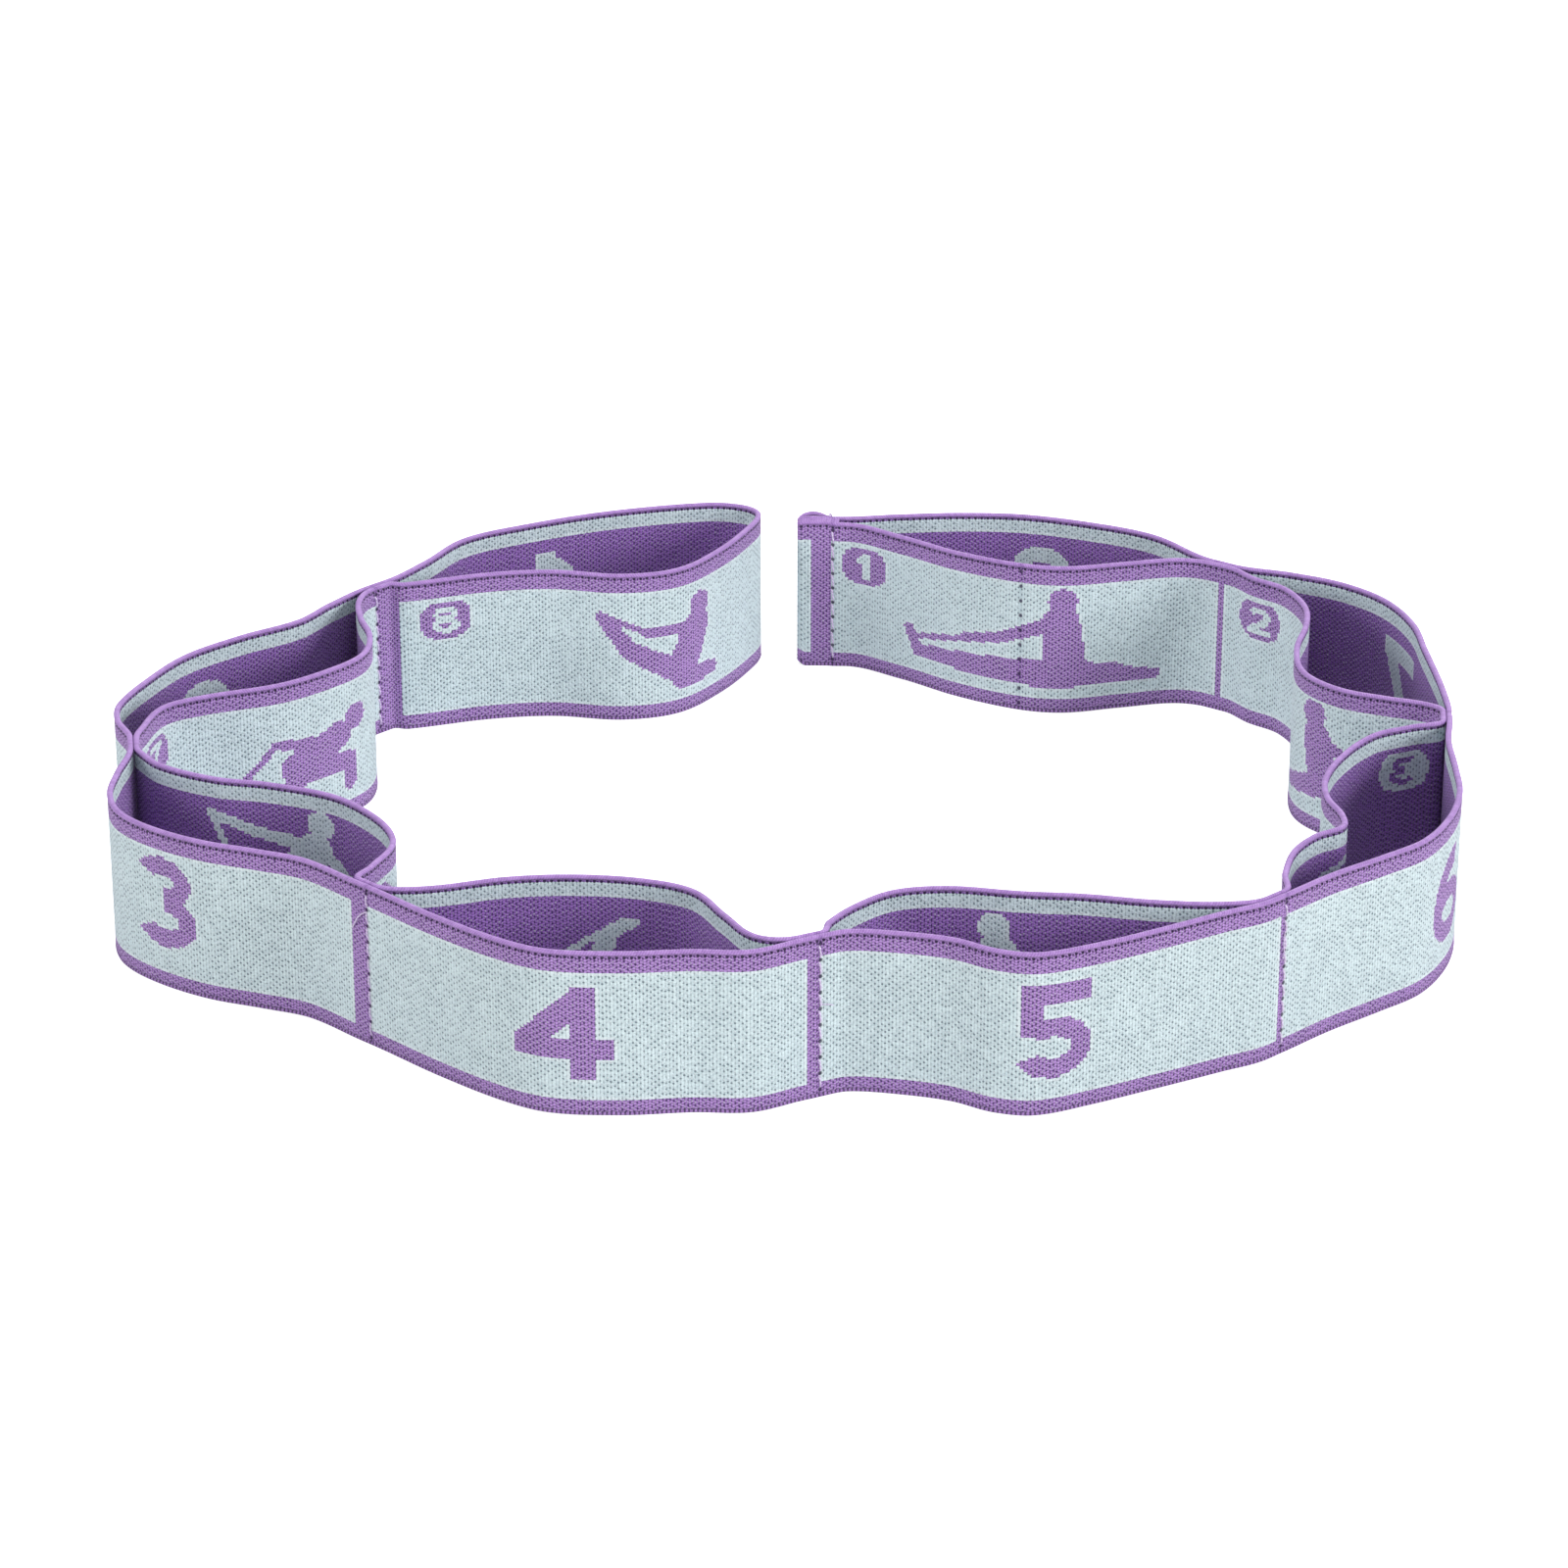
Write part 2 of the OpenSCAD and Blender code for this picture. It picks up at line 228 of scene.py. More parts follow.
# Exercise figures of our own: a head (x, y, radius), then limbs (x, y, x, y, radius, radius). Each
# holds a thin strap.
FIGURES = {
    1: ((9, 24, 3.2), [
        (9.5, 7, 8.5, 18.5, 4.8, 4.2), (9.5, 4.4, -26, 3.4, 4.2, 1.8), (-26, 3.2, -28.5, 9, 1.7, 1.3),
        (8, 18.5, -5, 12.6, 2.1, 1.4), (-5, 12.6, -14, 10.6, 1.4, 1.2), (-14, 10.2, -28, 6.8, 0.8, 0.8),
        (10, 4, 21, 3.6, 3.6, 2.6), (21, 3.2, 30, 2.4, 2.2, 1.4),
    ]),
    2: ((-2, 24.6, 3.2), [
        (1, 8, -1, 18.5, 4.3, 4.0), (1, 7, 10, 11.5, 3.2, 2.4), (10, 11.5, 11, 2, 2.2, 1.6),
        (0, 6, -12, 2.6, 3.2, 1.8), (-1, 18.6, 8, 15, 2.0, 1.4), (8, 15, 11.5, 2.6, 0.8, 0.8),
    ]),
    3: ((5, 21.5, 3.0), [
        (0, 11, 2.6, 17, 4.0, 3.7), (-1, 10, -7.5, 2, 3.1, 1.7), (1, 10, 8, 2, 3.1, 1.7),
        (1, 18, 7, 25.4, 1.8, 1.2), (4.5, 17.5, 15, 22.4, 1.8, 1.2), (7, 25.6, 15, 22.4, 0.8, 0.8),
    ]),
    4: ((3, 24.4, 3.2), [
        (0, 8, 2.4, 18.5, 4.3, 4.0), (0, 6, -13, 10.6, 3.3, 2.3), (-13, 10.6, -15.5, 2, 2.2, 1.6),
        (0, 4.6, 16, 2.4, 3.4, 1.6), (1, 18.5, -7.5, 13.6, 1.9, 1.3), (-7.5, 13.6, -15.5, 2.4, 0.8, 0.8),
        (4, 18.5, 10.5, 12, 1.9, 1.3),
    ]),
    5: ((20, 5, 3.1), [
        (15, 3.8, 1, 3.8, 3.5, 3.7), (1, 3.2, -24, 2.2, 3.0, 1.5), (1, 4.4, -5, 20, 3.0, 1.7),
        (-5, 20, -9.5, 22.5, 1.5, 1.2), (13, 5, 6, 13, 2.0, 1.3), (6, 13, -8, 23, 0.8, 0.8),
    ]),
    6: ((-6, 24.8, 3.2), [
        (1, 9, -4.6, 18.5, 4.3, 4.0), (1, 7, 9.5, 12.5, 3.2, 2.4), (9.5, 12.5, 10, 2, 2.2, 1.6),
        (2, 6, -9, 2.6, 3.2, 2.0), (-3, 18.6, 8, 20.6, 2.0, 1.4), (8, 20.6, 17.5, 24.6, 1.4, 1.1),
        (17.5, 24.6, 10, 2.6, 0.8, 0.8), (-6, 18, -13, 13, 1.9, 1.3),
    ]),
    7: ((14, 19, 3.1), [
        (-1, 10.5, 9, 15.5, 4.1, 3.7), (-1, 9.5, -3, 3, 3.1, 2.4), (-3, 2.6, -19, 2.2, 2.3, 1.4),
        (0, 9, 12, 8.4, 3.0, 2.2), (12, 8.4, 12, 2, 2.1, 1.6), (8, 15, -6, 17.5, 1.8, 1.2),
        (-6, 17.5, -18, 3, 0.8, 0.8),
    ]),
    8: ((9, 22, 3.1), [
        (4, 6, 8, 16.5, 4.3, 3.9), (4, 4.6, -8, 12.5, 3.2, 2.4), (-8, 12.5, -14, 21.5, 2.2, 1.5),
        (8, 17, -4, 17, 1.9, 1.3), (-4, 17, -14.5, 22.4, 0.8, 0.8), (4, 3.2, 13, 2.6, 2.9, 2.0),
    ]),
}
FIGURE_BASE = 6.6
FIGURE_STRETCH = 1.15
FIGURE_AT = {1: 0.52, 2: 0.7, 3: 0.55, 4: 0.52, 5: 0.56, 6: 0.56, 7: 0.46, 8: 0.62}
NUMERAL_BASE = 8.7
NUMERAL_SIZE = 1.04
NUMERAL_SHIFT = {3: (-2.5, 0.0), 4: (1.2, 0.4), 5: (-0.5, 0.0), 6: (1.1, 1.8)}
BADGE_UP = 28.9
BADGE_AT = {1: 8.9, 2: 14.0, 3: 14.0, 7: 14.5, 8: 17.0}
USUAL_BADGE_AT = 11.0
BADGE_DIGIT = 0.32

# Where the cross stripe lies relative to each seam
STRIPE = {0: (-5.5, -0.3), 1: (-0.3, 1.3), 2: (-1.6, 2.0), 3: (-1.6, 0.1), 4: (-1.6, 1.4), 5: (-1.6, 2.9),
          6: (-1.6, 2.2), 7: (-1.6, 5.8)}


def figure(n, x, y):
    head, limbs = FIGURES[n]
    mask = np.hypot(x - head[0], (y - head[1]) * 0.92) <= head[2]
    for part in limbs:
        mask = mask | limb(x, y, *part)
    return mask


def badge(n, x, y):
    """Rounded tab with a small numeral left open in it."""
    tab = (np.abs(x) / 6.5) ** 2.7 + (np.abs(y) / 5.1) ** 2.7 <= 1
    half_height = 11 * BADGE_DIGIT
    return tab & ~numeral(n, x / (1.3 * BADGE_DIGIT), (y + half_height) / BADGE_DIGIT)


def in_stripe(seam, along):
    first, last = STRIPE[seam]
    return (along >= first) & (along <= last)


def front_ink(loop, side, length, count):
    """Cells of a layer's front that are purple, as a grid of cells along by cells across."""
    along, up = np.meshgrid((np.arange(count) + 0.5) * length / count,
                            WEB_BOTTOM + (np.arange(WEB_ROWS) + 0.5) * ROW, indexing="ij")
    ink = (up > TAPE_W - TOP_BORDER) | (up < BOTTOM_BORDER) | in_stripe(loop - 1, along)
    if loop < 8:
        ink = ink | in_stripe(loop, along - length)
    if side == OUTER:
        along_shift, up_shift = NUMERAL_SHIFT.get(loop, (0.0, 0.0))
        x = (length / 2 + along_shift - along) / NUMERAL_SIZE
        return ink | numeral(9 - loop, x, (up - NUMERAL_BASE - up_shift) / NUMERAL_SIZE)
    ink = ink | badge(loop, along - BADGE_AT.get(loop, USUAL_BADGE_AT), up - BADGE_UP)
    return ink | figure(loop, (along - FIGURE_AT[loop] * length) / FIGURE_STRETCH, up - FIGURE_BASE)


# Needle holes up a row of stitches: their spacing, and the height of the lowest
STITCH_PITCH = 4.0
FIRST_STITCH = 2.0

# The seam and side where the thread is drawn right into the tape, so that neither it nor its holes show
SUNK = (1, INNER)
SUNK_BY = 0.3
FAR = 50.0


# ---- runs: columns of the tape in travel order, with the cells between them ----

def pinch(sewn):
    """Depth to which a row of stitches at this distance draws in the front of the tape."""
    return 0.24 * np.exp(-(sewn / 0.9) ** 2)


def past_stitches(seam, side, along):
    """Distance past a seam's row of stitches, or far away where its thread is sunk."""
    back = 0.0 if seam == 0 else STITCH_BACK
    return along + back + (FAR if (seam, side) == SUNK else 0.0)


def layer_run(loop, side, first_index):
    """Columns of one layer of a loop. Their knit is counted on from the layer before."""
    points, dirs, at = resampled(layer_line(loop, side), CELL)
    length = at[-1]
    dirs[0] = heading(SEAM_DIR[loop - 1])
    dirs[-1] = heading(SEAM_DIR[loop]) if loop < 8 else heading(-90 * side)
    sewn = past_stitches(loop - 1, side, at)
    if loop < 8:
        to_next = past_stitches(loop, side, at - length)
        sewn = np.where(np.abs(to_next) < np.abs(sewn), to_next, sewn)
    phase = loop * 2.1 + (0.0 if side == OUTER else 1.3)
    swell = np.sin(math.pi * at / length)
    return {
        "points": points,
        "front": side * left_of(dirs),
        "ink": front_ink(loop, side, length, len(at) - 1),
        "sewn": sewn,
        "half_t": np.full(len(at), 1.0),
        "rise": 0.3 * swell * np.sin(at / 15 + phase),
        "lift": 0.12 * swell * (1 + np.sin(at / 11 + 2 * phase)),
        "index": np.arange(len(at)) + first_index,
    }


def part_of_run(run, first, last):
    """The columns from first to last, and the cells between them."""
    return {key: value[first:last] if key == "ink" else value[first:last + 1] for key, value in run.items()}


def joined(runs):
    """Runs that share their end columns, as one."""
    whole = {}
    for key in runs[0]:
        kept = [run[key] if key == "ink" or i == 0 else run[key][1:] for i, run in enumerate(runs)]
        whole[key] = np.concatenate(kept)
    return whole


def turned_round(run):
    """The same columns in the opposite order."""
    return {key: value[::-1] for key, value in run.items()}


# ---- cross-section of the tape: height, distance in front of the middle, pattern row ----

EDGE_PROFILE = [(0.03, 0.36, 0.3), (0.25, 0.62, 0.9), (0.57, 0.71, 1.5), (0.85, 0.64, 2.1), (1.07, 0.54, 2.6)]
GROOVE = 4
# The groove's thickness at every second column, and the bottom edge's height, against the profile's
GROOVE_PINCH = 0.6
BOTTOM_EDGE = 0.8


def half_profile():
    """Front of the tape from its bottom edge to its top edge, without the two edge lines."""
    bottom = [(z * BOTTOM_EDGE, off, row - CORD_ROWS) for z, off, row in EDGE_PROFILE]
    web = [(WEB_BOTTOM + j * ROW, WEB_HALF_T, j) for j in range(WEB_ROWS + 1)]
    top = [(TAPE_W - z, off, WEB_ROWS + CORD_ROWS - row) for z, off, row in reversed(EDGE_PROFILE)]
    return bottom + web + top


def ring_profile():
    """Closed cross-section: up the front from the bottom edge line and down the back."""
    half = half_profile()
    bottom_line = [(0.0, 0.0, -CORD_ROWS)]
    top_line = [(TAPE_W, 0.0, WEB_ROWS + CORD_ROWS)]
    back = [(z, -off, row) for z, off, row in reversed(half)]
    return np.array(bottom_line + half + top_line + back)


RING = ring_profile()
RING_SIZE = len(RING)
HALF_SIZE = (RING_SIZE - 2) // 2


def web_row(m):
    """Pattern row between ring points m and m + 1, or None in the corded edges."""
    a, b = RING[m], RING[(m + 1) % RING_SIZE]
    row = min(a[2], b[2])
    is_web = 0 <= row < WEB_ROWS and max(a[2], b[2]) <= WEB_ROWS
    return int(row) if is_web else None


def groove_points():
    """Ring points in the groove beside each corded edge."""
    low = 1 + GROOVE
    high = HALF_SIZE - GROOVE
    return [low, high, RING_SIZE - low, RING_SIZE - high]


def stitch_dimples(height):
    """How strongly the needle holes draw in the tape at each height, from 0 to 1."""
    return 0.5 + 0.5 * np.cos(2 * math.pi * (height - FIRST_STITCH) / STITCH_PITCH)


# Share of a strip's width on the baked picture that its sides take. Its ends take the rest.
BAKE_SHARE = 0.98


def beside(mask):
    """Cells that touch a cell of the mask along or across the tape."""
    padded = np.pad(mask, 1)
    return padded[2:, 1:-1] | padded[:-2, 1:-1] | padded[1:-1, 2:] | padded[1:-1, :-2]


def ring_points(run, i):
    """Points of one column of the tape, all the way round its cross-section."""
    off = RING[:, 1] * run["half_t"][i]
    dimple = pinch(run["sewn"][i]) * (0.5 + 0.5 * stitch_dimples(RING[:, 0]))
    off = np.where(off > 0, off - dimple * (RING[:, 1] > 0.5), off)
    if run["index"][i] % 2 == 0:
        off[groove_points()] *= GROOVE_PINCH
    height = RING[:, 0] + run["lift"][i] + (run["rise"][i] - run["lift"][i]) * RING[:, 0] / TAPE_W
    xy = run["points"][i] + off[:, None] * run["front"][i]
    return np.column_stack([xy, np.maximum(height, 0)]).tolist()


def cell_faces(run, start, number, count):
    """Faces between the columns of a strip, each with its patterns and its corners on the two maps."""
    gaps = len(run["points"]) - 1
    purple = {True: run["ink"], False: ~run["ink"]}
    pale_rim = {is_front: beside(cells) & ~cells for is_front, cells in purple.items()}
    faces = []
    for i in range(gaps):
        a, b = start + i * RING_SIZE, start + (i + 1) * RING_SIZE
        x0, x1 = run["index"][i], run["index"][i + 1]
        u0, u1 = ((number + (i + s) / gaps * BAKE_SHARE) / count for s in (0, 1))
        for m in range(RING_SIZE):
            n = (m + 1) % RING_SIZE
            row = web_row(m)
            is_front = m <= HALF_SIZE
            y0, y1 = RING[m][2], RING[n][2]
            v0, v1 = m / RING_SIZE, (m + 1) / RING_SIZE
            faces.append({
                "corners": (a + m, a + n, b + n, b + m),
                "ink": 1.0 if row is None else float(purple[is_front][i][row]),
                "rim": 0.0 if row is None else float(pale_rim[is_front][i][row]),
                "reverse": float(not is_front),
                "knit": [(x0, y0), (x0, y1), (x1, y1), (x1, y0)],
                "bake": [(u0, v0), (u0, v1), (u1, v1), (u1, v0)],
            })
    return faces


def end_faces(run, start, number, count):
    """The two faces that close a strip, plain purple."""
    last = start + (len(run["points"]) - 1) * RING_SIZE
    u = (number + (1 + BAKE_SHARE) / 2) / count
    return [{
        "corners": tuple(range(at, at + RING_SIZE))[::order],
        "ink": 1.0,
        "rim": 0.0,
        "reverse": 0.0,
        "knit": [(0.5, 0.5)] * RING_SIZE,
        "bake": [(u, (m + 0.5) / RING_SIZE) for m in range(RING_SIZE)],
    } for at, order in ((start, -1), (last, 1))]


def tape_mesh(name, strips, material):
    """One closed mesh per strip of columns, all in one object."""
    verts, faces, sewn, sharp = [], [], [], set()
    for number, run in enumerate(strips):
        start = len(verts)
        for i in range(len(run["points"])):
            verts += ring_points(run, i)
            sewn += [run["sewn"][i]] * RING_SIZE
        ends = end_faces(run, start, number, len(strips))
        faces += cell_faces(run, start, number, len(strips)) + ends
        for ring in (sorted(face["corners"]) for face in ends):
            sharp |= set(zip(ring, ring[1:])) | {(ring[0], ring[-1])}
    mesh = bpy.data.meshes.new(name)
    mesh.from_pydata([[c * MM for c in v] for v in verts], [], [face["corners"] for face in faces])
    for pattern in ("ink", "reverse", "rim"):
        values = [face[pattern] for face in faces]
        mesh.attributes.new(pattern, "FLOAT", "FACE").data.foreach_set("value", values)
    mesh.attributes.new("sewn", "FLOAT", "POINT").data.foreach_set("value", sewn)
    for uv_map, key in (("knit", "knit"), ("OFBake", "bake")):
        corners = np.array([corner for face in faces for corner in face[key]], np.float32)
        mesh.uv_layers.new(name=uv_map).uv.foreach_set("vector", corners.ravel())
    mesh.shade_smooth()
    mesh.edges.foreach_set("use_edge_sharp", [tuple(sorted(edge.vertices)) in sharp for edge in mesh.edges])
    return finished_piece(name, mesh, material)


def finished_piece(name, mesh, material):
    mesh.materials.append(material)
    mesh.validate()
    piece = bpy.data.objects.new(name, mesh)
    bpy.context.scene.collection.objects.link(piece)
    return piece


# ---- materials ----

def srgb(r, g, b):
    """Linear colour of an sRGB one, given as 0 to 255."""
    linear = [c / 255 / 12.92 if c <= 10 else ((c / 255 + 0.055) / 1.055) ** 2.4 for c in (r, g, b)]
    return (*linear, 1.0)


class Nodes:
    """Short ways to add nodes to a material."""

    def __init__(self, name):
        self.material = bpy.data.materials.new(name)
        self.material.use_nodes = True
        self.tree = self.material.node_tree
        self.tree.nodes.clear()

    def add(self, kind, values=None, **settings):
        node = self.tree.nodes.new(kind)
        for key, value in settings.items():
            setattr(node, key, value)
        for key, value in (values or {}).items():
            if isinstance(value, bpy.types.NodeSocket):
                self.tree.links.new(value, node.inputs[key])
            else:
                node.inputs[key].default_value = value
        return node

    def math(self, operation, a, b=0.0, c=0.0):
        return self.add("ShaderNodeMath", {0: a, 1: b, 2: c}, operation=operation).outputs[0]

    def mix(self, factor, a, b):
        node = self.add("ShaderNodeMix", data_type="RGBA")
        for socket, value in ((node.inputs[0], factor), (node.inputs[6], a), (node.inputs[7], b)):
            if isinstance(value, bpy.types.NodeSocket):
                self.tree.links.new(value, socket)
            else:
                socket.default_value = value
        return node.outputs[2]

    def ramp(self, value, low, high):
        """0 below low, 1 above high, smooth between them."""
        node = self.add("ShaderNodeMapRange", {"Value": value, "From Min": low, "From Max": high},
                        interpolation_type="SMOOTHSTEP")
        return node.outputs["Result"]

    def band(self, value, low, high, soft):
        """1 between low and high, 0 outside, with soft ends of this width."""
        above = self.ramp(value, low - soft, low)
        return self.math("MULTIPLY", above, self.math("SUBTRACT", 1.0, self.ramp(value, high, high + soft)))

    def spot(self, x, x_radius, y, y_radius):
        """1 in the middle of an oval round x = y = 0, and 0 outside it."""
        across = self.math("POWER", self.math("DIVIDE", x, x_radius), 2.0)
        up = self.math("POWER", self.math("DIVIDE", y, y_radius), 2.0)
        return self.math("SUBTRACT", 1.0, self.ramp(self.math("ADD", across, up), 0.35, 1.2))

    def per_cell(self, vector):
        """A random number that stays the same within each unit cell."""
        cell = self.add("ShaderNodeVectorMath", {0: vector}, operation="FLOOR").outputs[0]
        return self.add("ShaderNodeTexWhiteNoise", {"Vector": cell}).outputs["Value"]

    def attribute(self, name):
        return self.add("ShaderNodeAttribute", attribute_name=name).outputs["Fac"]

    def noise(self, vector, scale, detail=2.0):
        return self.add("ShaderNodeTexNoise", {"Vector": vector, "Scale": scale, "Detail": detail}).outputs[0]

    def finish(self, color, roughness, height, bump, sheen, sheen_tint):
        bump_node = self.add("ShaderNodeBump", {"Height": height, "Strength": 1.0, "Distance": bump})
        surface = self.add("ShaderNodeBsdfPrincipled", {
            "Base Color": color, "Roughness": roughness, "Normal": bump_node.outputs[0],
            "Sheen Weight": sheen, "Sheen Roughness": 0.45, "Sheen Tint": sheen_tint,
            "Specular IOR Level": 0.25,
        })
        output = self.add("ShaderNodeOutputMaterial")
        self.tree.links.new(surface.outputs[0], output.inputs[0])
        return self.material


PALE = srgb(222, 238, 241)
# Darker pale tone: small random differences and a painted shadow along the stitches
PALE_SHADE = srgb(160, 182, 192)
# Painted shade: darker pale for the pits and creases of the knit
PALE_GAP_SHADE = srgb(84, 106, 116)
PURPLE = srgb(190, 150, 218)
# Darker purple tone: small random differences, painted shade between the cord's wraps and a painted shadow
# along the stitches
PURPLE_SHADE = srgb(130, 92, 164)
# Painted shade: a deeper violet for the purple on the reverse, standing in for the shade inside the loops
INSIDE_SHADE_PURPLE = srgb(168, 122, 208)
# Painted shade: darker purple for the pits and creases of the knit
PURPLE_GAP_SHADE = srgb(52, 24, 84)
# Painted shade: near-black purple for the holes, the notches and the line along the top cord
HOLE_SHADE = srgb(38, 14, 62)
# Painted highlight on the crowns of the knit loops; it also lightens pale cells beside purple ones
WHITE = srgb(250, 253, 255)
THREAD = srgb(222, 206, 236)


def knit_gaps(n, uv, x, y):
    """Pits between the loops of the knit, creases between its strands, and the crowns of its loops, for the
    bump, for painted shade in the pits and creases, and for a painted highlight on the crowns.
    """
    drift = n.math("MULTIPLY", n.math("SUBTRACT", n.noise(uv, 0.7), 0.5), 0.4)
    column = n.math("FLOOR", n.math("ADD", x, 0.5))
    jog = n.add("ShaderNodeTexWhiteNoise", {"W": column}, noise_dimensions="1D").outputs["Value"]
    shifted = n.math("MULTIPLY_ADD", n.math("SUBTRACT", jog, 0.5), 0.8, n.math("ADD", y, drift))
    xd = n.math("MULTIPLY", n.math("ADD", x, drift), math.pi)
    lattice = n.math("MULTIPLY", n.math("COSINE", xd), n.math("COSINE", n.math("MULTIPLY", shifted, math.pi)))
    corner = n.add("ShaderNodeVectorMath", {0: uv, 1: (0.5, 0.5, 0.0)}, operation="ADD").outputs[0]
    depth = n.math("MULTIPLY_ADD", n.per_cell(corner), 1.3, 0.08)
    pit = n.math("MULTIPLY", n.ramp(lattice, 0.35, 0.9), depth)
    wale = n.math("MULTIPLY", n.ramp(n.math("COSINE", n.math("MULTIPLY", xd, 2.0)), 0.1, 1.0), 0.26)
    zigzag = n.math("MULTIPLY", n.math("SINE", xd), 1.6)
    strands = n.math("COSINE", n.math("MULTIPLY_ADD", n.math("ADD", y, drift), 2 * math.pi, zigzag))
    crease = n.ramp(strands, 0.1, 1.0)
    crown = n.math("MULTIPLY", n.ramp(n.math("MULTIPLY", lattice, -1.0), 0.4, 1.0), n.per_cell(uv))
    return n.math("ADD", pit, wale), crease, crown


def holes_in_tape(n, x, y, sewn):
    """Holes beside the top cord, a line along the lower side of the cord, notches along the bottom edge, and
    needle holes along the seams: where the tape is pressed in and painted dark as shade.
    """
    from_top = n.math("SUBTRACT", float(WEB_ROWS), y)
    even_column = n.math("PINGPONG", x, 1.0)
    cord_hole = n.spot(even_column, 0.5, n.math("ADD", from_top, 0.25), 0.6)
    cord_line = n.math("MULTIPLY", n.band(from_top, -1.2, -0.8, 0.3), 0.35)
    notches = n.ramp(n.math("COSINE", n.math("MULTIPLY", x, 2 * math.pi / 1.25)), -0.1, 0.7)
    low_edge = n.math("SUBTRACT", 1.0, n.ramp(y, -0.4, 0.5))
    notch = n.math("MULTIPLY", n.math("MULTIPLY", notches, low_edge), 0.8)
    height = n.math("MULTIPLY_ADD", y, ROW, WEB_BOTTOM - FIRST_STITCH)
    needle = n.spot(sewn, 0.5, n.math("PINGPONG", height, STITCH_PITCH / 2), 0.55)
    upper = n.math("MAXIMUM", cord_hole, cord_line)
    return n.math("MAXIMUM", n.math("MAXIMUM", upper, notch), n.math("MULTIPLY", needle, 0.9))


def jacquard_material():
    n = Nodes("jacquard_tape")
    uv = n.add("ShaderNodeUVMap", uv_map="knit").outputs[0]
    split = n.add("ShaderNodeSeparateXYZ", {0: uv})
    x, y = split.outputs[0], split.outputs[1]
    in_web = n.band(y, -0.3, WEB_ROWS + 0.3, 0.2)
    in_cord = n.math("SUBTRACT", 1.0, in_web)
    pit, crease, crown = (n.math("MULTIPLY", value, in_web) for value in knit_gaps(n, uv, x, y))
    # Painted shade: the pits and creases are mixed towards darker copies of each yarn
    pale_gap = n.math("MINIMUM", n.math("MULTIPLY_ADD", crease, 0.1, pit), 1.0)
    purple_gap = n.math("MINIMUM", n.math("MULTIPLY_ADD", crease, 0.6, n.math("MULTIPLY", pit, 1.6)), 1.0)
    sewn = n.attribute("sewn")
    hole = holes_in_tape(n, x, y, sewn)

    # Cords: yarn wrapped round the edge, with painted shade in the grooves between the wraps
    turns = n.math("SINE", n.math("MULTIPLY_ADD", y, math.pi, n.math("MULTIPLY", x, 2.5 * math.pi)))
    wraps = n.math("MULTIPLY", n.math("MULTIPLY", n.ramp(turns, -0.4, 1.0), 0.3), in_cord)

    # Yarn colours, with small random differences from stitch to stitch and along the tape, painted shade
    # between the cord's wraps, and a painted shadow along each row of stitches
    loops = n.per_cell(uv)
    shade = n.math("MULTIPLY_ADD", loops, 0.3, n.math("MULTIPLY", n.noise(uv, 0.06, 3.0), 0.22))
    # Painted shadow along each row of stitches, where the thread draws the tape in
    stitch_shadow = n.math("MULTIPLY", n.math("SUBTRACT", 1.0, n.ramp(n.math("ABSOLUTE", sewn), 0.2, 0.9)), 0.3)
    shade = n.math("ADD", n.math("ADD", shade, wraps), stitch_shadow)
    pale = n.mix(n.math("MULTIPLY", pale_gap, 0.8), n.mix(shade, PALE, PALE_SHADE), PALE_GAP_SHADE)
    # Painted shade: the reverse of the web gets the deeper violet, as shade inside the loops
    purple_with_inside_shade = n.mix(n.math("MULTIPLY", n.attribute("reverse"), in_web), PURPLE, INSIDE_SHADE_PURPLE)
    purple = n.mix(n.math("MULTIPLY", purple_gap, 0.9), n.mix(shade, purple_with_inside_shade, PURPLE_SHADE), PURPLE_GAP_SHADE)
    color = n.mix(n.attribute("ink"), pale, purple)
    # Painted highlight on the crowns of the knit loops, and pale cells beside purple ones made a little
    # whiter
    crown_highlight_and_rim = n.math("MULTIPLY_ADD", crown, 0.5, n.math("MULTIPLY", n.attribute("rim"), 0.2))
    color = n.mix(crown_highlight_and_rim, color, WHITE)
    # Painted shade in the holes, notches and needle holes and along the line on the top cord
    color = n.mix(n.math("MULTIPLY", hole, 0.92), color, HOLE_SHADE)

    fibre = n.noise(uv, 5.0, 4.0)
    height = n.math("MULTIPLY_ADD", fibre, 0.5, n.math("SUBTRACT", crown, pale_gap))
    height = n.math("SUBTRACT", height, n.math("MULTIPLY_ADD", hole, 1.5, wraps))
    roughness = n.math("MULTIPLY_ADD", in_web, 0.15, 0.7)
    return n.finish(color, roughness, height, 0.0003, 0.25, srgb(235, 225, 250))


def thread_material():
    n = Nodes("sewing_thread")
    place = n.add("ShaderNodeTexCoord").outputs["Object"]
    ply = n.add("ShaderNodeTexWave", {"Vector": place, "Scale": 700.0, "Distortion": 1.5},
                bands_direction="DIAGONAL")
    fuzz = n.noise(place, 4000.0, 3.0)
    # Painted shade in the grooves between the two plies, then lighter fuzz
    color = n.mix(n.math("MULTIPLY", ply.outputs["Fac"], 0.45), THREAD, srgb(150, 112, 182))
    color = n.mix(n.math("MULTIPLY", fuzz, 0.25), color, srgb(245, 240, 250))
    return n.finish(color, 0.5, n.math("ADD", ply.outputs["Fac"], fuzz), 0.0001, 0.3, srgb(245, 235, 255))


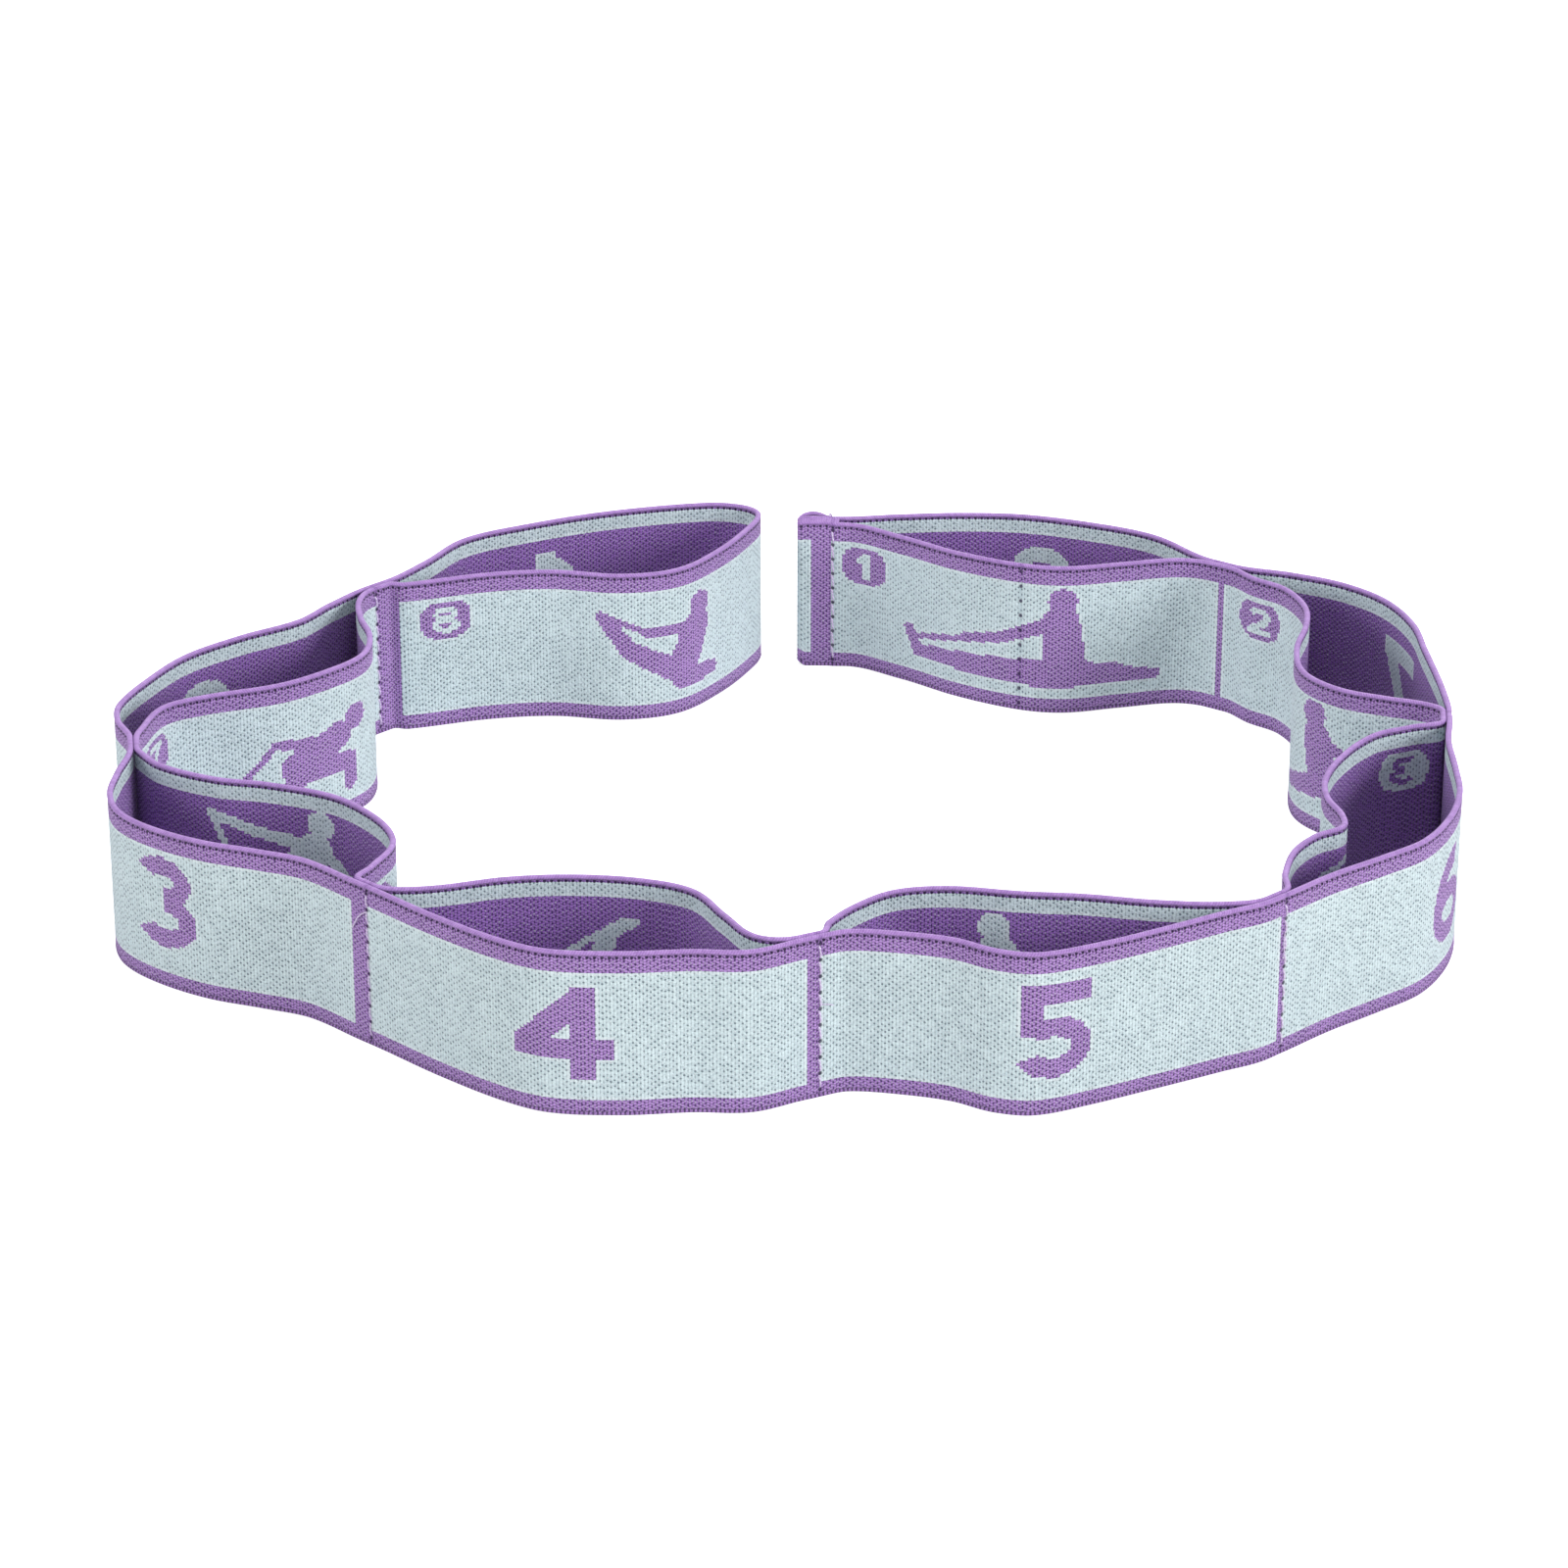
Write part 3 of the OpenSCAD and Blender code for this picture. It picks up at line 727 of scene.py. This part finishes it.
def floor_material():
    """Pale floor with a white glow that only the camera sees, so that it lights nothing from below."""
    n = Nodes("studio_floor")
    place = n.add("ShaderNodeTexCoord").outputs["Object"]
    grain = n.noise(place, 40.0, 2.0)
    color = n.mix(n.math("MULTIPLY", grain, 0.04), srgb(238, 238, 238), srgb(226, 226, 228))
    surface = n.add("ShaderNodeBsdfDiffuse", {"Color": color}).outputs[0]
    seen = n.add("ShaderNodeLightPath").outputs["Is Camera Ray"]
    strength = n.math("MULTIPLY", seen, 0.75)
    glow = n.add("ShaderNodeEmission", {"Color": (1.0, 1.0, 1.0, 1.0), "Strength": strength})
    both = n.add("ShaderNodeAddShader", {0: surface, 1: glow.outputs[0]})
    output = n.add("ShaderNodeOutputMaterial")
    n.tree.links.new(both.outputs[0], output.inputs[0])
    return n.material


TAPE = jacquard_material()
SEWING = thread_material()


# ---- pieces of tape ----

def all_runs():
    runs = {}
    for side in (OUTER, INNER):
        index = 0
        for loop in range(1, 9):
            runs[loop, side] = layer_run(loop, side, index)
            index = runs[loop, side]["index"][-1]
    return runs


RUNS = all_runs()
SIDE_NAME = {OUTER: "outer", INNER: "inner"}


def facing_left(run, side):
    """Columns ordered so that the front of the tape is on the left of the way they go."""
    return run if side == OUTER else turned_round(run)


def build_layer(loop, side):
    """One layer of a loop between its seam pieces."""
    run = RUNS[loop, side]
    last = len(run["points"]) - 1 - (SEAM_CELLS if loop < 8 else FOLD_CELLS[side])
    middle = part_of_run(run, SEAM_CELLS, last)
    piece = tape_mesh(f"loop_{loop}_{SIDE_NAME[side]}_layer", [facing_left(middle, side)], TAPE)
    name = f"loop_{loop}_{SIDE_NAME[side]}"
    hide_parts(f"{name}_start", f"{name}_end")
    if side == OUTER:
        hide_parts(f"loop_{loop}_rubber_start", f"loop_{loop}_rubber_end")
    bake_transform(piece)


def build_seam(seam):
    """Both layers where they are sewn together."""
    strips = []
    for side in (OUTER, INNER):
        before, after = RUNS[seam, side], RUNS[seam + 1, side]
        count = len(before["points"]) - 1
        run = joined([part_of_run(before, count - SEAM_CELLS, count), part_of_run(after, 0, SEAM_CELLS)])
        strips.append(facing_left(run, side))
    piece = tape_mesh(f"seam_{seam}_tape", strips, TAPE)
    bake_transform(piece)


def build_fold():
    """The turn of the tape from the outer to the inner layer at the end of loop 8."""
    parts = []
    for side in (OUTER, INNER):
        run = RUNS[8, side]
        count = len(run["points"]) - 1
        parts.append(facing_left(part_of_run(run, count - FOLD_CELLS[side], count), side))
    parts[1]["index"] = parts[0]["index"][-1] + np.arange(len(parts[1]["index"]))
    piece = tape_mesh("end_fold_tape", [joined(parts)], TAPE)
    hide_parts("end_fold")
    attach(piece, "loop_8_far")


# Hem: where the tape turns back, and the middles of the tab and of the turned-in flap
HEM_LEN = 9.2
HEM_HALF_T = 0.84
TAB_OFF = 1.75
FLAP_OFF = 0.59
FLAP_END = 1.6
# The outer end is a loose loop: how far it bulges out and rises, and where along the tab
LOOP_BULGE = 1.9
LOOP_RISE = 0.3
LOOP_SPAN = (-8.4, -1.8)


def in_hem_loop(along):
    """How far along the bulge of the loose loop a place is: 0 at its two ends and 1 in the middle."""
    first, last = LOOP_SPAN
    return np.sin(math.pi * np.clip((along - first) / (last - first), 0, 1)) ** 0.8


def hem_run(side):
    """The tab beyond the hem stitches, from the flap's end round the turn to the start of loop 1."""
    turn_r = (TAB_OFF - FLAP_OFF) / 2
    turn_u = turn_r + 0.55 - HEM_LEN
    turn = [(turn_u + turn_r * math.cos(a), (TAB_OFF + FLAP_OFF) / 2 + turn_r * math.sin(a))
            for a in np.radians(np.linspace(-100, -260, 9))]
    bulge = LOOP_BULGE if side == OUTER else 0.0
    tab = [(u, TAB_OFF + bulge * in_hem_loop(u)) for u in np.linspace(-8.2, -1.2, 15)]
    corners = [(FLAP_END, FLAP_OFF)] + turn + tab + [(0.0, HEM_WEB_OFF)]
    line = np.array([at_seam(0, u, side * n) for u, n in corners])
    points, dirs, at = resampled(line, 0.4)
    dirs[-1] = heading(SEAM_DIR[0])
    along = (points - at_seam(0, 0)) @ heading(SEAM_DIR[0])
    middle = (along[1:] + along[:-1]) / 2
    up = WEB_BOTTOM + (np.arange(WEB_ROWS) + 0.5) * ROW
    ink = in_stripe(0, middle)[:, None] | (up > TAPE_W - TOP_BORDER) | (up < BOTTOM_BORDER)
    thin = np.clip(-along / 1.2, 0, 1)
    corner = np.clip((-along - HEM_LEN + 2.4) / 2.4, 0, 1) ** 2
    raised = 0.4 * thin + (LOOP_RISE * in_hem_loop(along) if side == OUTER else 0.0)
    return {
        "points": points,
        "front": side * left_of(dirs),
        "ink": ink,
        "sewn": along,
        "half_t": 1.0 + (HEM_HALF_T - 1.0) * thin,
        "rise": raised - 0.8 * corner,
        "lift": 2.2 * corner,
        "index": (np.arange(len(at)) - len(at) + 1) / 2,
    }


def build_hem(side):
    hem = hem_run(side)
    start = part_of_run(RUNS[1, side], 0, SEAM_CELLS)
    name = f"hem_{SIDE_NAME[side]}"
    piece = tape_mesh(f"{name}_tab", [facing_left(joined([hem, start]), side)], TAPE)
    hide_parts(f"{name}_turn")
    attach(piece, "loop_1_near")


# ---- sewing thread ----

THREAD_R = 0.22
STITCHES = 9
# The two plies: how far they stand out of the round, and the length of one twist
PLY_DEPTH = 0.22
PLY_LENGTH = 1.1


def tube(path, radius, sides=8):
    """Vertices and faces of a two-ply thread along a path of points."""
    path = np.array(path, float)
    dirs = unit(np.gradient(path, axis=0))
    side_dir = np.cross(dirs, [0.0, 0.0, 1.0]) + np.cross(dirs, [0.31, 0.17, 0.05])
    side_dir = unit(side_dir)
    up_dir = np.cross(dirs, side_dir)
    travelled = np.concatenate([[0], np.cumsum(np.linalg.norm(np.diff(path, axis=0), axis=1))])
    verts = []
    for i in range(len(path)):
        twist = 2 * math.pi * travelled[i] / PLY_LENGTH
        for s in range(sides):
            a = 2 * math.pi * s / sides
            r = radius * (1 + PLY_DEPTH * math.cos(2 * a - twist))
            verts.append(path[i] + r * (math.cos(a) * side_dir[i] + math.sin(a) * up_dir[i]))
    faces = []
    for i in range(len(path) - 1):
        a, b = i * sides, (i + 1) * sides
        faces += [(a + s, a + (s + 1) % sides, b + (s + 1) % sides, b + s) for s in range(sides)]
    faces.append(tuple(reversed(range(sides))))
    faces.append(tuple((len(path) - 1) * sides + s for s in range(sides)))
    return verts, faces


def stitch_path(seam, at, side, face, i):
    """One stitch on one face of a seam: it comes out of a needle hole, lies on the tape and goes in again."""
    low = FIRST_STITCH + i * STITCH_PITCH
    lean = 0.2 if side == OUTER else -0.2
    path = []
    for q in np.linspace(0, 1, 13):
        out = face - 0.55 + 0.7 * math.sin(math.pi * q) ** 0.5
        along = at + lean * (2 * q - 1)
        height = low + STITCH_PITCH * (0.08 + 0.84 * q)
        path.append((*at_seam(seam, along, side * out), height))
    return path


# Loose thread ends on the outer side: seam, height, radius, and points (along, out, up)
LOOSE_ENDS = {
    0: (39.0, 0.2, [(0, 0, 0), (-0.4, 0.5, 0.9), (-0.7, 0.2, 1.7), (-0.9, -0.6, 1.9), (-1.0, -1.4, 1.5)]),
    3: (31.0, 0.15, [(0, 0, 0), (0.8, 0.6, -1.2), (1.2, 0.9, -3.0), (0.7, 0.8, -5.0), (1.0, 0.5, -6.6)]),
    4: (23.0, 0.1, [(0, 0, 0), (-0.8, 0.4, 0.1), (-1.6, 0.6, 0.0), (-2.4, 0.7, -0.2), (-3.0, 0.6, -0.5)]),
    5: (33.5, 0.16, [(0, 0, 0), (1.2, 0.5, -0.6), (2.4, 0.8, -1.9), (3.5, 0.7, -3.7), (4.6, 0.3, -5.4)]),
}


def loose_end(seam, at, face):
    height, _, points = LOOSE_ENDS[seam]
    points = np.array(points, float)
    q = np.linspace(0, len(points) - 1, 33)
    smooth = np.stack([np.interp(q, range(len(points)), points[:, c]) for c in range(3)], axis=1)
    kernel = np.hanning(11)[1:-1]
    kernel /= kernel.sum()
    padded = np.pad(smooth, ((4, 4), (0, 0)), mode="edge")
    smooth = np.stack([np.convolve(padded[:, c], kernel, "valid") for c in range(3)], axis=1)
    return [(*at_seam(seam, at + along, face - 0.1 + out), height + up) for along, out, up in smooth]


def thread_mesh(name, paths):
    verts, faces = [], []
    for path, radius in paths:
        more_verts, more_faces = tube(path, radius)
        faces += [tuple(len(verts) + v for v in face) for face in more_faces]
        verts += [tuple(float(c) * MM for c in v) for v in more_verts]
    mesh = bpy.data.meshes.new(name)
    mesh.from_pydata(verts, [], faces)
    mesh.shade_smooth()
    return finished_piece(name, mesh, SEWING)


def build_stitches(seam):
    at = 0.0 if seam == 0 else -STITCH_BACK
    face = (HEM_WEB_OFF if seam == 0 else LAYER_OFF) + WEB_HALF_T - 0.1
    paths = []
    for side in (OUTER, INNER):
        depth = SUNK_BY if (seam, side) == SUNK else 0.0
        paths += [(stitch_path(seam, at, side, face - depth, i), THREAD_R) for i in range(STITCHES)]
    if seam in LOOSE_ENDS:
        paths.append((loose_end(seam, at, face), LOOSE_ENDS[seam][1]))
    node = "hem_stitches" if seam == 0 else f"seam_{seam}_stitches"
    piece = thread_mesh(node.replace("stitches", "thread"), paths)
    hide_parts(node)
    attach(piece, "loop_1_near" if seam == 0 else f"loop_{seam}_far")


# ---- stage ----

def build_stage():
    mesh = bpy.data.meshes.new("floor")
    half = 4.0
    corners = [(-half, -half, 0), (half, -half, 0), (half, half, 0), (-half, half, 0)]
    mesh.from_pydata(corners, [], [(0, 1, 2, 3)])
    mesh.materials.append(floor_material())
    floor = bpy.data.objects.new("floor", mesh)
    bpy.context.scene.collection.objects.link(floor)


def add_light(name, place, target, size, power):
    light = bpy.data.lights.new(name, "AREA")
    light.shape = "DISK"
    light.size = size
    light.energy = power
    lamp = bpy.data.objects.new(name, light)
    bpy.context.scene.collection.objects.link(lamp)
    aim(lamp, place, target)


def aim(thing, place, target):
    thing.location = place
    thing.rotation_euler = (Vector(target) - Vector(place)).to_track_quat("-Z", "Y").to_euler()


def build_studio():
    world_data = bpy.data.worlds.new("studio")
    world_data.use_nodes = True
    background = world_data.node_tree.nodes["Background"]
    background.inputs[0].default_value = (1.0, 1.0, 1.0, 1.0)
    background.inputs[1].default_value = 0.39
    bpy.context.scene.world = world_data
    middle = (0, 0, 0.02)
    add_light("right", (3.86, -2.32, 1.65), middle, 2.0, 161)
    add_light("left", (-4.11, -1.83, 1.65), middle, 2.5, 103)
    add_light("behind", (1.0, 4.2, 1.9), middle, 1.5, 110)
    add_light("top", (0.0, -0.1, 1.0), middle, 0.6, 3.5)
    camera_data = bpy.data.cameras.new("camera")
    camera_data.lens = 126
    camera_data.sensor_width = 36
    camera = bpy.data.objects.new("camera", camera_data)
    bpy.context.scene.collection.objects.link(camera)
    aim(camera, (0.0, -1.1803, 0.5828), (0.0, 0.0, 0.02))
    bpy.context.scene.camera = camera
    bpy.context.scene.view_settings.view_transform = "Standard"


for loop in range(1, 9):
    for side in (OUTER, INNER):
        build_layer(loop, side)
for seam in range(1, 8):
    build_seam(seam)
for side in (OUTER, INNER):
    build_hem(side)
build_fold()
for seam in range(8):
    build_stitches(seam)
build_stage()
build_studio()

bpy.context.view_layer.update()
